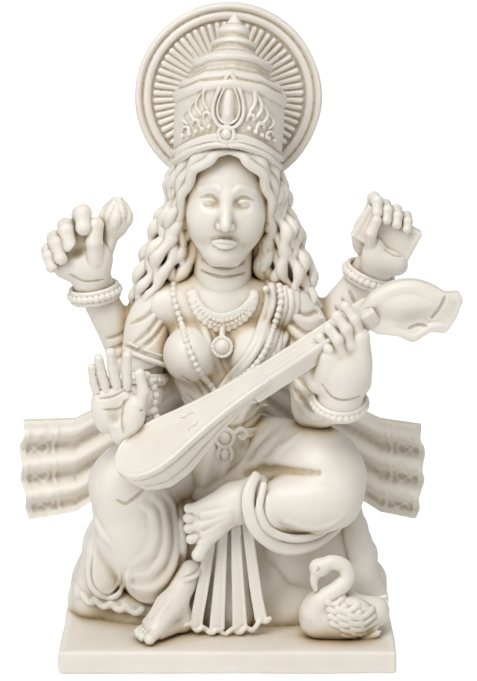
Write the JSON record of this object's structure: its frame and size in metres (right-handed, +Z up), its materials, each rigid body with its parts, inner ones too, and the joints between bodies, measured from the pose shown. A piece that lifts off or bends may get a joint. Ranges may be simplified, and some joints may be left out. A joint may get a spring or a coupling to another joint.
{
  "type": "seated goddess figurine",
  "caption": "Ivory cast-marble figurine of a seated, crowned goddess playing a long-necked lute, with a round halo, a swan and a flat rectangular base.",
  "frame": {"origin": "centre of the base plate's underside", "axes": "+Z up along the figure's height, -Y towards the figure's front, +X towards the viewer's right"},
  "size_m": [0.1047, 0.0569, 0.15],
  "materials": {
    "cast_marble": "polished, with an olive-brown tint left in the crevices"
  },
  "bodies": {
    "root": {"base_plate": "cast_marble", "torso": "cast_marble", "right_leg_drape": "cast_marble", "left_leg_drape": "cast_marble", "left_leg_hem": "cast_marble", "right_foot": "cast_marble", "left_foot": "cast_marble", "front_pleats": "cast_marble", "rock_seat": "cast_marble", "seat_cloth": "cast_marble", "head": "cast_marble", "crown_band": "cast_marble", "crown_body": "cast_marble", "crown_finial": "cast_marble", "crown_jewel": "cast_marble", "halo": "cast_marble", "hair_right": "cast_marble", "hair_left": "cast_marble", "hair_back": "cast_marble", "front_right_sleeve": "cast_marble", "front_right_forearm": "cast_marble", "front_right_hand": "cast_marble", "front_left_sleeve": "cast_marble", "front_left_forearm": "cast_marble", "rear_right_arm": "cast_marble", "rear_left_arm": "cast_marble", "rear_right_hand": "cast_marble", "lotus_bud": "cast_marble", "rear_left_hand": "cast_marble", "scripture_book": "cast_marble", "lute_board": "cast_marble", "lute_bowl": "cast_marble", "lute_neck": "cast_marble", "lute_head": "cast_marble", "front_left_hand": "cast_marble", "shawl_tail_right": "cast_marble", "shawl_tail_left": "cast_marble", "shoulder_sash": "cast_marble", "waist_belt": "cast_marble", "belt_ornament": "cast_marble", "bib_necklace": "cast_marble", "pendant": "cast_marble", "bead_garland": "cast_marble", "front_right_armlet": "cast_marble", "front_right_bangle": "cast_marble", "front_left_bangle": "cast_marble", "rear_right_bangle": "cast_marble", "rear_left_bangle": "cast_marble", "swan_body": "cast_marble", "swan_neck": "cast_marble", "swan_head": "cast_marble"}
  },
  "joints": []
}
